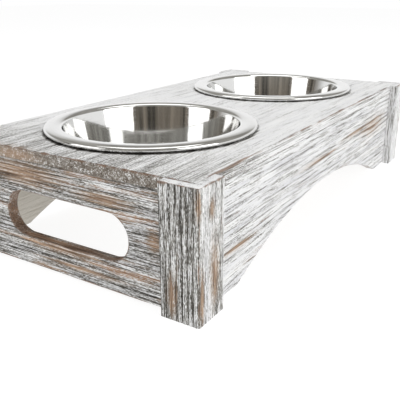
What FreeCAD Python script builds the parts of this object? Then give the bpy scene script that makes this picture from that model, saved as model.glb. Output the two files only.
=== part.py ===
import FreeCAD, Part
import math
import os

import Sketcher
from FreeCAD import Placement, Rotation, Vector

# Double pet bowl stand: a low box of softwood boards with arched sides, grip slots in its ends,
# L-shaped corner posts that stand on the floor, and two pressed steel bowls hung in its top.
# Millimetres. The origin is on the floor under the middle of the stand, +X runs along its length,
# +Y to its back and +Z up.

# Driving sizes: alias, value, meaning
SIZES = (
    ("stand_height", 100, "floor to the upper face of the top board"),
    ("box_length", 472, "over the two end panels"),
    ("box_width", 240, "over the two side aprons"),
    ("top_thickness", 10, "top board"),
    ("panel_thickness", 10, "end panels"),
    ("apron_thickness", 10, "side aprons"),
    ("floor_gap", 1, "end panels and aprons above the floor"),
    ("post_face", 32, "outer width of each leg of a corner post"),
    ("post_thickness", 8, "legs of a corner post"),
    ("post_easing", 2, "radius on the outer upright edge of a corner post"),
    ("grip_length", 125, "grip slot, end to end"),
    ("grip_height", 38, "grip slot, bottom to top"),
    ("grip_level", 45.5, "floor to the middle of the grip slot"),
    ("arch_span", 351, "arch of an apron at its foot"),
    ("arch_rise", 37, "arch of an apron, foot to crown"),
    ("bowl_shift", 3, "bowl centre outward of the middle of its half of the top"),
    ("rim_radius", 94, "outside of a bowl's curled rim"),
    ("curl_radius", 2.35, "outside radius of the curl itself"),
    ("flange_radius", 81, "inner edge of a bowl's flat flange"),
    ("mouth_bend", 3, "bend from the flange down into the wall"),
    ("bowl_depth", 54, "flange down to the inside of the bottom"),
    ("base_radius", 52, "flat of a bowl's bottom"),
    ("base_bend", 20, "bend from the bottom up into the wall"),
    ("sheet_thickness", 0.6, "steel sheet of the bowls"),
    ("rim_clearance", 0.3, "rim above the top board"),
    ("hole_clearance", 1.5, "bowl hole beyond the flange's inner edge"),
    ("cleat_section", 14, "side of the square cleats under the top"),
    ("cleat_end_gap", 26, "end of a cleat to the end panel"),
    ("screw_radius", 1.5, "shank of every screw"),
    ("screw_tip", 4, "length of the pointed tip"),
    ("screw_cover", 4, "wood left over the tip of a cleat screw"),
    ("head_radius", 3.2, "head of every screw"),
    ("pan_height", 2.2, "head of a cleat screw"),
    ("pan_crown", 0.9, "bevel round the top of that head"),
    ("drive_length", 3.6, "cross recess, tip to tip"),
    ("drive_width", 0.9, "cross recess, across one slot"),
    ("drive_depth", 1.2, "cross recess, down from the head's top"),
    ("drill_clearance", 0.1, "screw holes, all round the screw"),
    ("side_screw_pitch", 150, "between the screws of a cleat into its apron"),
    ("top_screw_pitch", 150, "between the screws of a cleat into the top"),
    ("corner_bite", 14, "corner screw inside the end panel"),
    ("corner_inset", 18, "corner screw from the panel's upper and lower edges"),
)

# Lengths worked out from the driving sizes
HALF_LENGTH = "Sizes.box_length / 2"
HALF_WIDTH = "Sizes.box_width / 2"
BOARD_TOP = "(Sizes.stand_height - Sizes.top_thickness)"
INNER_HALF_LENGTH = "(Sizes.box_length / 2 - Sizes.panel_thickness)"
INNER_HALF_WIDTH = "(Sizes.box_width / 2 - Sizes.apron_thickness)"
BOWL_CENTRE = "(Sizes.box_length / 4 + Sizes.bowl_shift)"
FLANGE_LEVEL = "(Sizes.stand_height + Sizes.rim_clearance + 2 * Sizes.curl_radius)"
BOWL_FLOOR = f"({FLANGE_LEVEL} - Sizes.bowl_depth)"
HOLE_RADIUS = "Sizes.flange_radius + Sizes.hole_clearance"
ARCH_RADIUS = "(Sizes.arch_span ^ 2 / 4 + Sizes.arch_rise ^ 2) / (2 * Sizes.arch_rise)"
CLEAT_MIDDLE = f"({INNER_HALF_WIDTH} - Sizes.cleat_section / 2)"
PAN_LENGTH = "(Sizes.cleat_section + min(Sizes.apron_thickness; Sizes.top_thickness) - Sizes.screw_cover)"
CORNER_LENGTH = "(Sizes.apron_thickness + Sizes.corner_bite)"
CONE_HEIGHT = "(Sizes.head_radius - Sizes.screw_radius)"

# Points of a sketch edge, and the sketch axes, as the sketcher counts them
START, END, CENTRE = range(1, 4)
FLAT_AXIS, UPRIGHT_AXIS = range(-1, -3, -1)

doc = FreeCAD.newDocument("PetBowlStand")
sheet = doc.addObject("Spreadsheet::Sheet", "Sizes")
for row, (alias, value, meaning) in enumerate(SIZES, start=1):
    sheet.set(f"A{row}", alias)
    sheet.set(f"B{row}", str(value))
    sheet.setAlias(f"B{row}", alias)
    sheet.set(f"C{row}", meaning)
doc.recompute()


def number(expression):
    """Value of an expression on the sheet."""
    return float(sheet.evalExpression(expression))


def bind(sketch, kind, where, expression):
    """Add a dimension to a sketch and tie it to the sheet."""
    index = sketch.addConstraint(Sketcher.Constraint(kind, *where, number(expression)))
    sketch.setExpression(f"Constraints[{index}]", expression)


def place_point(sketch, edge, end, across, up):
    """Hold one point of a sketch at a place given by two expressions."""
    if across == "0":
        sketch.addConstraint(Sketcher.Constraint("PointOnObject", edge, end, UPRIGHT_AXIS))
    else:
        bind(sketch, "DistanceX", (FLAT_AXIS, START, edge, end), across)
    if up == "0":
        sketch.addConstraint(Sketcher.Constraint("PointOnObject", edge, end, FLAT_AXIS))
    else:
        bind(sketch, "DistanceY", (FLAT_AXIS, START, edge, end), up)


def new_body(label):
    return doc.addObject("PartDesign::Body", label)


def new_sketch(body, role, offset="0"):
    """Empty sketch on one of the body's own planes, moved along that plane's normal."""
    sketch = body.newObject("Sketcher::SketchObject", f"{body.Name}_sketch")
    plane = next(item for item in body.Origin.OriginFeatures if item.Role == role)
    sketch.AttachmentSupport = (plane, [""])
    sketch.MapMode = "FlatFace"
    if offset != "0":
        sketch.setExpression("AttachmentOffset.Base.z", offset)
    return sketch


def polygon(sketch, corners):
    """Closed outline of straight edges through corners given as pairs of expressions."""
    points = [Vector(number(across), number(up), 0) for across, up in corners]
    first = sketch.GeometryCount
    following = [*range(1, len(corners)), 0]
    for here, there in enumerate(following):
        sketch.addGeometry(Part.LineSegment(points[here], points[there]), False)
    for here, there in enumerate(following):
        sketch.addConstraint(
            Sketcher.Constraint("Coincident", first + here, END, first + there, START)
        )
    for index, (across, up) in enumerate(corners):
        place_point(sketch, first + index, START, across, up)


def circle(sketch, across, up, radius):
    """Circle with its centre and radius given as expressions."""
    centre = Vector(number(across), number(up), 0)
    edge = sketch.addGeometry(Part.Circle(centre, Vector(0, 0, 1), number(radius)), False)
    place_point(sketch, edge, CENTRE, across, up)
    bind(sketch, "Radius", (edge,), radius)


def slot(sketch, length, height, level):
    """Round-ended slot, lying flat and centred on the upright axis."""
    radius = number(height) / 2
    reach = number(length) / 2 - radius
    middle = number(level)
    right = Part.ArcOfCircle(
        Part.Circle(Vector(reach, middle, 0), Vector(0, 0, 1), radius), -math.pi / 2, math.pi / 2
    )
    left = Part.ArcOfCircle(
        Part.Circle(Vector(-reach, middle, 0), Vector(0, 0, 1), radius), math.pi / 2, 3 * math.pi / 2
    )
    upper = Part.LineSegment(Vector(reach, middle + radius, 0), Vector(-reach, middle + radius, 0))
    lower = Part.LineSegment(Vector(-reach, middle - radius, 0), Vector(reach, middle - radius, 0))
    edges = [sketch.addGeometry(edge, False) for edge in (right, upper, left, lower)]
    for here, there in zip(edges, [*edges[1:], edges[0]]):
        sketch.addConstraint(Sketcher.Constraint("Tangent", here, END, there, START))
    sketch.addConstraint(Sketcher.Constraint("Equal", edges[0], edges[2]))
    place_point(sketch, edges[0], CENTRE, f"{length} / 2 - {height} / 2", level)
    place_point(sketch, edges[2], CENTRE, f"-({length} / 2 - {height} / 2)", level)
    bind(sketch, "Radius", (edges[0],), f"{height} / 2")


def pad(body, sketch, length):
    """Solid of a sketch drawn out along its normal."""
    feature = body.newObject("PartDesign::Pad", f"{body.Name}_pad")
    feature.Profile = sketch
    feature.setExpression("Length", length)
    return feature


def revolve(body, sketch):
    """Solid of a half profile turned about the body's upright axis."""
    feature = body.newObject("PartDesign::Revolution", f"{body.Name}_turned")
    feature.Profile = sketch
    feature.ReferenceAxis = (sketch, ["V_Axis"])
    feature.Angle = 360
    return feature


def cut(label, base, tool):
    """Piece left when the screw holes are drilled out of a blank."""
    feature = doc.addObject("Part::Cut", label)
    feature.Base = base
    feature.Tool = tool
    return feature


# Boards


def top_board_blank():
    """Rectangular board with its two bowl holes."""
    body = new_body("top_board_blank")
    sketch = new_sketch(body, "XY_Plane", BOARD_TOP)
    polygon(sketch, [
        (f"-{HALF_LENGTH}", f"-{HALF_WIDTH}"),
        (HALF_LENGTH, f"-{HALF_WIDTH}"),
        (HALF_LENGTH, HALF_WIDTH),
        (f"-{HALF_LENGTH}", HALF_WIDTH),
    ])
    for side in ("-", ""):
        circle(sketch, f"{side}{BOWL_CENTRE}", "0", HOLE_RADIUS)
    pad(body, sketch, "Sizes.top_thickness")
    return body


def end_panel_blank(label, offset):
    """End board between the aprons, with its grip slot."""
    body = new_body(label)
    sketch = new_sketch(body, "YZ_Plane", offset)
    polygon(sketch, [
        (f"-{INNER_HALF_WIDTH}", "Sizes.floor_gap"),
        (INNER_HALF_WIDTH, "Sizes.floor_gap"),
        (INNER_HALF_WIDTH, BOARD_TOP),
        (f"-{INNER_HALF_WIDTH}", BOARD_TOP),
    ])
    slot(sketch, "Sizes.grip_length", "Sizes.grip_height", "Sizes.grip_level")
    pad(body, sketch, "Sizes.panel_thickness")
    return body


def side_apron_blank(label, offset):
    """Long side board with an arch cut from its lower edge."""
    body = new_body(label)
    sketch = new_sketch(body, "XZ_Plane", offset)
    outline = [
        ("Sizes.arch_span / 2", "Sizes.floor_gap"),
        (HALF_LENGTH, "Sizes.floor_gap"),
        (HALF_LENGTH, BOARD_TOP),
        (f"-{HALF_LENGTH}", BOARD_TOP),
        (f"-{HALF_LENGTH}", "Sizes.floor_gap"),
        ("-Sizes.arch_span / 2", "Sizes.floor_gap"),
    ]
    points = [Vector(number(across), number(up), 0) for across, up in outline]
    lines = [
        sketch.addGeometry(Part.LineSegment(here, there), False)
        for here, there in zip(points, points[1:])
    ]
    crown = Vector(0, number("Sizes.floor_gap + Sizes.arch_rise"), 0)
    arch = sketch.addGeometry(Part.Arc(points[-1], crown, points[0]), False)
    for here, there in zip(lines, lines[1:]):
        sketch.addConstraint(Sketcher.Constraint("Coincident", here, END, there, START))
    for line, (across, up) in zip(lines, outline):
        place_point(sketch, line, START, across, up)
    place_point(sketch, lines[-1], END, *outline[-1])
    # An arc runs anticlockwise, so this one starts at the right foot
    sketch.addConstraint(Sketcher.Constraint("Coincident", arch, START, lines[0], START))
    sketch.addConstraint(Sketcher.Constraint("Coincident", arch, END, lines[-1], END))
    bind(sketch, "Radius", (arch,), ARCH_RADIUS)
    pad(body, sketch, "Sizes.apron_thickness")
    return body


def cleat_blank(label, side):
    """Square batten in the corner between the top board and an apron."""
    body = new_body(label)
    reach = f"({INNER_HALF_LENGTH} - Sizes.cleat_end_gap)"
    wall = f"{side}{INNER_HALF_WIDTH}"
    inner = f"{side}({INNER_HALF_WIDTH} - Sizes.cleat_section)"
    sketch = new_sketch(body, "XY_Plane", f"{BOARD_TOP} - Sizes.cleat_section")
    polygon(sketch, [
        (f"-{reach}", wall),
        (reach, wall),
        (reach, inner),
        (f"-{reach}", inner),
    ])
    pad(body, sketch, "Sizes.cleat_section")
    return body


def corner_post(label, end, side):
    """L-shaped moulding round one upright corner of the box, from the floor to the top's face."""
    body = new_body(label)
    box = (f"{end}{HALF_LENGTH}", f"{side}{HALF_WIDTH}")
    outer = (
        f"{end}({HALF_LENGTH} + Sizes.post_thickness)",
        f"{side}({HALF_WIDTH} + Sizes.post_thickness)",
    )
    back = (
        f"{end}({HALF_LENGTH} + Sizes.post_thickness - Sizes.post_face)",
        f"{side}({HALF_WIDTH} + Sizes.post_thickness - Sizes.post_face)",
    )
    sketch = new_sketch(body, "XY_Plane")
    polygon(sketch, [
        outer,
        (back[0], outer[1]),
        (back[0], box[1]),
        box,
        (box[0], back[1]),
        (outer[0], back[1]),
    ])
    leg = pad(body, sketch, "Sizes.stand_height")
    doc.recompute()
    corner = Vector(number(outer[0]), number(outer[1]), 0)
    for index, edge in enumerate(leg.Shape.Edges, start=1):
        ends = [vertex.Point for vertex in edge.Vertexes]
        if all(abs(point.x - corner.x) + abs(point.y - corner.y) < 1e-6 for point in ends):
            upright = f"Edge{index}"
    easing = body.newObject("PartDesign::Fillet", f"{label}_easing")
    easing.Base = (leg, [upright])
    easing.setExpression("Radius", "Sizes.post_easing")
    return body


# Bowls


def bowl(label, side):
    """Pressed bowl: flat bottom, sloping wall, flat flange and a rim curled under, all of one sheet."""
    body = new_body(label)
    sketch = new_sketch(body, "XZ_Plane")
    sheet_wall = number("Sizes.sheet_thickness")
    base = Vector(number("Sizes.base_radius"), number(f"{BOWL_FLOOR} + Sizes.base_bend"), 0)
    mouth = Vector(number("Sizes.flange_radius"), number(f"{FLANGE_LEVEL} - Sizes.mouth_bend"), 0)
    curl = Vector(
        number("Sizes.rim_radius - Sizes.curl_radius"),
        number(f"{FLANGE_LEVEL} - Sizes.curl_radius"),
        0,
    )
    base_bend = number("Sizes.base_bend")
    mouth_bend = number("Sizes.mouth_bend")
    curl_radius = number("Sizes.curl_radius")
    # The wall is the line that touches both bends, the base on its outside and the mouth on its inside
    run = mouth - base
    slope = math.atan2(run.y, run.x) + math.asin((base_bend + mouth_bend) / run.Length)
    outward = Vector(math.sin(slope), -math.cos(slope), 0)
    up = Vector(0, 1, 0)
    left = Vector(-1, 0, 0)

    def turn(centre, radius, ways):
        """Arc about a centre through three directions."""
        return Part.Arc(*[centre + way.normalize() * radius for way in ways])

    def surface(grow):
        """Edges of one face of the sheet, from the axis to the curl; grow is nought on the inside."""
        base_ways = [-up, outward - up, Vector(outward)]
        mouth_ways = [-outward, up - outward, Vector(up)]
        curl_ways = [Vector(up), -left, Vector(left)]
        bends = [
            turn(base, base_bend + grow, base_ways),
            turn(mouth, mouth_bend - grow, mouth_ways),
            turn(curl, curl_radius - grow, curl_ways),
        ]
        bottom = Vector(0, base.y - base_bend - grow, 0)
        return [
            Part.LineSegment(bottom, base - up * (base_bend + grow)),
            bends[0],
            Part.LineSegment(base + outward * (base_bend + grow), mouth - outward * (mouth_bend - grow)),
            bends[1],
            Part.LineSegment(mouth + up * (mouth_bend - grow), curl + up * (curl_radius - grow)),
            bends[2],
        ]

    upper = [sketch.addGeometry(edge, False) for edge in surface(0)]
    lower = [sketch.addGeometry(edge, False) for edge in surface(sheet_wall)]
    for face in (upper, lower):
        floor, base_arc, wall, mouth_arc, flange, curl_arc = face
        # Arcs run anticlockwise: the base arc with the outline, the mouth and the curl against it
        joins = [
            (floor, END, base_arc, START),
            (base_arc, END, wall, START),
            (wall, END, mouth_arc, END),
            (mouth_arc, START, flange, START),
            (flange, END, curl_arc, END),
        ]
        for join in joins:
            sketch.addConstraint(Sketcher.Constraint("Tangent", *join))
    closing = [
        Part.LineSegment(curl + left * curl_radius, curl + left * (curl_radius - sheet_wall)),
        Part.LineSegment(
            Vector(0, base.y - base_bend - sheet_wall, 0), Vector(0, base.y - base_bend, 0)
        ),
    ]
    lip, axis = [sketch.addGeometry(edge, False) for edge in closing]
    sketch.addConstraint(Sketcher.Constraint("Coincident", upper[5], START, lip, START))
    sketch.addConstraint(Sketcher.Constraint("Coincident", lip, END, lower[5], START))
    sketch.addConstraint(Sketcher.Constraint("Coincident", lower[0], START, axis, START))
    sketch.addConstraint(Sketcher.Constraint("Coincident", axis, END, upper[0], START))
    for bend in (1, 3, 5):
        sketch.addConstraint(Sketcher.Constraint("Coincident", upper[bend], CENTRE, lower[bend], CENTRE))
    sketch.addConstraint(Sketcher.Constraint("Horizontal", lip))
    sketch.addConstraint(Sketcher.Constraint("Horizontal", lip, START, upper[5], CENTRE))
    sketch.addConstraint(Sketcher.Constraint("PointOnObject", axis, START, UPRIGHT_AXIS))
    place_point(sketch, axis, END, "0", BOWL_FLOOR)
    place_point(sketch, upper[1], CENTRE, "Sizes.base_radius", f"{BOWL_FLOOR} + Sizes.base_bend")
    place_point(sketch, upper[3], CENTRE, "Sizes.flange_radius", f"{FLANGE_LEVEL} - Sizes.mouth_bend")
    place_point(
        sketch, upper[5], CENTRE,
        "Sizes.rim_radius - Sizes.curl_radius", f"{FLANGE_LEVEL} - Sizes.curl_radius",
    )
    sketch.addConstraint(Sketcher.Constraint("Horizontal", lower[0]))
    for bend, radius, growth in (
        (1, "Sizes.base_bend", "+ Sizes.sheet_thickness"),
        (3, "Sizes.mouth_bend", "- Sizes.sheet_thickness"),
        (5, "Sizes.curl_radius", "- Sizes.sheet_thickness"),
    ):
        bind(sketch, "Radius", (upper[bend],), radius)
        bind(sketch, "Radius", (lower[bend],), f"{radius} {growth}")
    revolve(body, sketch)
    body.setExpression("Placement.Base.x", f"{side}{BOWL_CENTRE}")
    return body


# Screws: each is drawn upright with its head's seat at the origin and its tip down


def screw(label, head, length, grow):
    """Turned screw; grow is added all round it, to make the hole that it goes into."""
    body = new_body(label)
    sketch = new_sketch(body, "XZ_Plane")
    shank = f"Sizes.screw_radius + {grow}"
    polygon(sketch, head + [
        (shank, f"-({length} - Sizes.screw_tip)"),
        ("0", f"-({length} + {grow})"),
    ])
    revolve(body, sketch)
    return body


def drive_recess(body, top):
    """Cross recess sunk into the top of a screw's head."""
    arm = "Sizes.drive_length / 2"
    half = "Sizes.drive_width / 2"
    sketch = new_sketch(body, "XY_Plane", top)
    polygon(sketch, [
        (arm, f"-{half}"), (arm, half), (half, half), (half, arm), (f"-{half}", arm), (f"-{half}", half),
        (f"-{arm}", half), (f"-{arm}", f"-{half}"), (f"-{half}", f"-{half}"), (f"-{half}", f"-{arm}"),
        (half, f"-{arm}"), (half, f"-{half}"),
    ])
    pocket = body.newObject("PartDesign::Pocket", f"{body.Name}_recess")
    pocket.Profile = sketch
    pocket.setExpression("Length", "Sizes.drive_depth")


def pan_screw():
    """Cleat screw: a flat-seated head stands on the wood."""
    body = screw("pan_screw", [
        ("0", "Sizes.pan_height"),
        ("Sizes.head_radius - Sizes.pan_crown", "Sizes.pan_height"),
        ("Sizes.head_radius", "Sizes.pan_height - Sizes.pan_crown"),
        ("Sizes.head_radius", "0"),
        ("Sizes.screw_radius", "0"),
    ], PAN_LENGTH, "0")
    drive_recess(body, "Sizes.pan_height")
    return body


def pan_hole():
    """Hole for a cleat screw's shank."""
    shank = "Sizes.screw_radius + Sizes.drill_clearance"
    return screw("pan_hole", [("0", "0"), (shank, "0")], PAN_LENGTH, "Sizes.drill_clearance")


def flat_screw():
    """Corner screw: a countersunk head lies flush with the wood."""
    body = screw("flat_screw", [
        ("0", "0"),
        ("Sizes.head_radius", "0"),
        ("Sizes.screw_radius", f"-{CONE_HEIGHT}"),
    ], CORNER_LENGTH, "0")
    drive_recess(body, "0")
    return body


def flat_hole():
    """Countersunk hole for a corner screw."""
    shank = "Sizes.screw_radius + Sizes.drill_clearance"
    return screw("flat_hole", [
        ("0", "0"),
        ("Sizes.head_radius + Sizes.drill_clearance", "0"),
        (shank, f"-{CONE_HEIGHT}"),
    ], CORNER_LENGTH, "Sizes.drill_clearance")


def group(label, master, places):
    """Copies of one piece, each at three expressions and a turn, kept together as separate solids."""
    copies = []
    for index, (across, along, up, turn) in enumerate(places, start=1):
        copy = doc.addObject("App::Link", f"{label}_{index}")
        copy.LinkedObject = master
        copy.Placement = Placement(Vector(0, 0, 0), turn)
        for axis, expression in zip("xyz", (across, along, up)):
            copy.setExpression(f"Placement.Base.{axis}", expression)
        copies.append(copy)
    compound = doc.addObject("Part::Compound", label)
    compound.Links = copies
    return compound


# Tip of a screw pointing to the back, to the front and up
TO_BACK = Rotation(Vector(1, 0, 0), 90)
TO_FRONT = Rotation(Vector(1, 0, 0), -90)
TO_TOP = Rotation(Vector(1, 0, 0), 180)

side_screw_places = []
top_screw_places = []
corner_screw_places = []
for side, outward_turn, inward_turn in (("-", TO_FRONT, TO_BACK), ("", TO_BACK, TO_FRONT)):
    for step in ("-1", "0", "1"):
        side_screw_places.append((
            f"{step} * Sizes.side_screw_pitch",
            f"{side}({INNER_HALF_WIDTH} - Sizes.cleat_section)",
            f"{BOARD_TOP} - Sizes.cleat_section / 2",
            outward_turn,
        ))
    for step in ("-1", "1"):
        top_screw_places.append((
            f"{step} * Sizes.top_screw_pitch / 2",
            f"{side}{CLEAT_MIDDLE}",
            f"{BOARD_TOP} - Sizes.cleat_section",
            TO_TOP,
        ))
    for end in ("-", ""):
        for level in ("Sizes.floor_gap + Sizes.corner_inset", f"{BOARD_TOP} - Sizes.corner_inset"):
            corner_screw_places.append((
                f"{end}({HALF_LENGTH} - Sizes.panel_thickness / 2)",
                f"{side}{HALF_WIDTH}",
                level,
                inward_turn,
            ))

pan_master = pan_screw()
pan_hole_master = pan_hole()
flat_master = flat_screw()
flat_hole_master = flat_hole()
fasteners = [
    group("cleat_side_screws", pan_master, side_screw_places),
    group("cleat_top_screws", pan_master, top_screw_places),
    group("corner_screws", flat_master, corner_screw_places),
]
cleat_holes = group("cleat_holes", pan_hole_master, side_screw_places + top_screw_places)
corner_holes = group("corner_holes", flat_hole_master, corner_screw_places)
all_holes = doc.addObject("Part::Compound", "all_holes")
all_holes.Links = [cleat_holes, corner_holes]

# The upright sketch plane of the aprons faces the front, so its offsets count towards the front
boards = [
    cut("top_board", top_board_blank(), cleat_holes),
    cut("end_panel_left", end_panel_blank("end_panel_left_blank", f"-{HALF_LENGTH}"), corner_holes),
    cut("end_panel_right", end_panel_blank("end_panel_right_blank", INNER_HALF_LENGTH), corner_holes),
    cut("side_apron_front", side_apron_blank("side_apron_front_blank", INNER_HALF_WIDTH), all_holes),
    cut("side_apron_back", side_apron_blank("side_apron_back_blank", f"-{HALF_WIDTH}"), all_holes),
    cut("top_cleat_front", cleat_blank("top_cleat_front_blank", "-"), cleat_holes),
    cut("top_cleat_back", cleat_blank("top_cleat_back_blank", ""), cleat_holes),
]
posts = [
    corner_post("corner_post_front_left", "-", "-"),
    corner_post("corner_post_front_right", "", "-"),
    corner_post("corner_post_back_left", "-", ""),
    corner_post("corner_post_back_right", "", ""),
]
bowls = [bowl("bowl_left", "-"), bowl("bowl_right", "")]

doc.recompute()

for item in doc.Objects:
    if {"Invalid", "Error"} & set(item.State):
        raise RuntimeError(f"{item.Label} did not build: {item.State}")

solid_counts = {piece: 1 for piece in boards + posts + bowls}
for fastener, places in zip(fasteners, (side_screw_places, top_screw_places, corner_screw_places)):
    solid_counts[fastener] = len(places)
for piece, count in solid_counts.items():
    shape = piece.Shape
    if shape.isNull() or not shape.isValid() or len(shape.Solids) != count:
        raise RuntimeError(f"{piece.Label} is not {count} sound solid(s)")

os.makedirs("parts", exist_ok=True)
for piece in solid_counts:
    piece.Shape.exportStep(f"parts/{piece.Label}.step")
    print(f"{piece.Label}: {len(piece.Shape.Solids)} solid(s), {piece.Shape.Volume / 1000:.2f} cm3")
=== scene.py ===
"""Looks of a double pet bowl stand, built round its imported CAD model.

The stand is a low box of wire-brushed pine boards, stained dark and white-washed, with arched
sides, grip slots in its ends and L-shaped corner posts. Two polished steel bowls hang in its top.
Metres, in the CAD frame: +X along the stand, +Y to its back, +Z up, the floor at nought.
"""

import logging
import math
from dataclasses import dataclass
from enum import Enum
from typing import Any, Callable, NamedTuple, Sequence

import bmesh
import bpy
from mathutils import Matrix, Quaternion, Vector

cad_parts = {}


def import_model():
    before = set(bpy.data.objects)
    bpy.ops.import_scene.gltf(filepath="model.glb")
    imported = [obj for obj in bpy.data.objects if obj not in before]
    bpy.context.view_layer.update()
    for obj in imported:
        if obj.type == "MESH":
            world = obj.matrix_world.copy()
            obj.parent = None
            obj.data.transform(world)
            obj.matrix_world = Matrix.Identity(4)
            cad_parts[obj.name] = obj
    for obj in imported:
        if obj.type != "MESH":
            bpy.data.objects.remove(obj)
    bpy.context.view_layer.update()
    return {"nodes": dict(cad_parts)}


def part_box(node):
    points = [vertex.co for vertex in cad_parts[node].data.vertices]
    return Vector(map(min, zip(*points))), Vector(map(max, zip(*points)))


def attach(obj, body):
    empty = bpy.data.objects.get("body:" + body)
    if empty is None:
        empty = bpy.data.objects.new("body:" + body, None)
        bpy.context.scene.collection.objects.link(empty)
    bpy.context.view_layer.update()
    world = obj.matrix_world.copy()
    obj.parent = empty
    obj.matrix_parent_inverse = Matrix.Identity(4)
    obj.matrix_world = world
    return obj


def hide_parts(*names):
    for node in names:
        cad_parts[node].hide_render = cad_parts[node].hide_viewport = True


LOG = logging.getLogger("pet_bowl_stand")
MM = 0.001
# Points that are nearer than this are the same point
CLOSE = 1e-6

Pair = tuple[float, float]
Point = tuple[float, float, float]
Tree = bpy.types.NodeTree
Socket = bpy.types.NodeSocket
Material = bpy.types.Material
Piece = bpy.types.Object

MATH = "ShaderNodeMath"
VECTOR = "ShaderNodeVectorMath"
SPLIT = "ShaderNodeSeparateXYZ"
NOISE = "ShaderNodeTexNoise"
RANGE = "ShaderNodeMapRange"
MIX = "ShaderNodeMix"
COORDINATES = "ShaderNodeTexCoord"
BUMP = "ShaderNodeBump"
PRINCIPLED = "ShaderNodeBsdfPrincipled"
OUTPUT = "ShaderNodeOutputMaterial"
# Settings of a Map Range node that eases in and out, and of a Mix node for colours
SOFT: dict[str, Any] = {"interpolation_type": "SMOOTHSTEP"}
COLOURS: dict[str, Any] = {"out": 2, "data_type": "RGBA"}


def linear(code: str) -> tuple[float, float, float, float]:
    """Turn an sRGB hex colour into linear light.

    Args:
        code: Colour as a hash and six hex digits.

    Returns:
        Linear red, green, blue and full alpha.
    """
    parts = [int(code[start:start + 2], 16) / 255 for start in (1, 3, 5)]
    light = [part / 12.92 if part <= 0.04045 else ((part + 0.055) / 1.055) ** 2.4 for part in parts]
    return (light[0], light[1], light[2], 1.0)


def add_node(
    tree: Tree,
    kind: str,
    inputs: dict[int | str, Any] | Sequence[Any] = (),
    out: int | str = 0,
    **settings: Any,
) -> Socket | None:
    """Add one node, with its settings, values and links.

    Args:
        tree: Node tree of a material, the world or a modifier.
        kind: Blender's type name of the node.
        inputs: Values, or sockets to link from, of the input sockets: by number or name, or in order.
        out: Output socket to hand back.
        **settings: Properties of the node itself.

    Returns:
        The chosen output socket, or None for a node that has none.
    """
    node = tree.nodes.new(kind)
    for name, value in settings.items():
        setattr(node, name, value)
    named = inputs if isinstance(inputs, dict) else dict(enumerate(inputs))
    for socket, value in named.items():
        if isinstance(value, Socket):
            tree.links.new(value, node.inputs[socket])
        else:
            node.inputs[socket].default_value = value
    return node.outputs[out] if len(node.outputs) else None


def new_material(name: str) -> Material:
    """Make an empty node material.

    Args:
        name: Name of the finish.

    Returns:
        The material, with no nodes in it.
    """
    material = bpy.data.materials.new(name)
    material.use_nodes = True
    material.node_tree.nodes.clear()
    return material


# Shaping by operators


def settle(name: str) -> Piece:
    """Name the primitive that was just added and move its place and size into its mesh.

    Args:
        name: Name of the new piece.

    Returns:
        The new piece, at the origin.
    """
    piece = bpy.context.object
    piece.name = name
    piece.data.name = name
    bpy.ops.object.transform_apply(location=True, rotation=True, scale=True)
    return piece


def start_block(name: str, low: Vector, high: Vector) -> Piece:
    """Add a cube and bring it to the size and place of a blank.

    Args:
        name: Name of the new piece.
        low: Lowest corner.
        high: Highest corner.

    Returns:
        The new object, with its place in its mesh.
    """
    bpy.ops.object.select_all(action="DESELECT")
    bpy.ops.mesh.primitive_cube_add(size=1, location=(low + high) / 2)
    bpy.context.object.scale = high - low
    return settle(name)


def open_piece(piece: Piece) -> None:
    """Select one piece alone and open it in edit mode.

    Args:
        piece: Piece to open.
    """
    bpy.ops.object.select_all(action="DESELECT")
    piece.select_set(True)
    bpy.context.view_layer.objects.active = piece
    bpy.ops.object.mode_set(mode="EDIT")


def close_piece() -> None:
    """Go back from edit mode to object mode."""
    bpy.ops.object.mode_set(mode="OBJECT")


def pick(piece: Piece, element: str, test: Callable[[Any], bool]) -> int:
    """Select the parts of an open mesh that pass a test.

    Args:
        piece: Piece that is open in edit mode.
        element: "verts", "edges" or "faces".
        test: Tells of one vertex, edge or face whether to select it.

    Returns:
        How many were selected.
    """
    modes = {"verts": "VERT", "edges": "EDGE", "faces": "FACE"}
    bpy.ops.mesh.select_mode(type=modes[element])
    bpy.ops.mesh.select_all(action="DESELECT")
    shape = bmesh.from_edit_mesh(piece.data)
    found = [item for item in getattr(shape, element) if test(item)]
    for item in found:
        item.select_set(True)
    shape.select_flush_mode()
    bmesh.update_edit_mesh(piece.data)
    return len(found)


def finish_with(piece: Piece, kind: str, **settings: Any) -> None:
    """Put one modifier on a piece and apply it.

    Args:
        piece: Piece to change.
        kind: Blender's type name of the modifier.
        **settings: Properties of the modifier.
    """
    modifier = piece.modifiers.new(kind.lower(), kind)
    for name, value in settings.items():
        setattr(modifier, name, value)
    bpy.context.view_layer.objects.active = piece
    bpy.ops.object.modifier_apply(modifier=modifier.name)


def cut_away(piece: Piece, cutter: Piece) -> None:
    """Cut a piece with a cutter and throw the cutter away.

    Args:
        piece: Piece to cut.
        cutter: Shape to take away.
    """
    finish_with(piece, "BOOLEAN", operation="DIFFERENCE", object=cutter, solver="EXACT")
    bpy.data.objects.remove(cutter)


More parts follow.
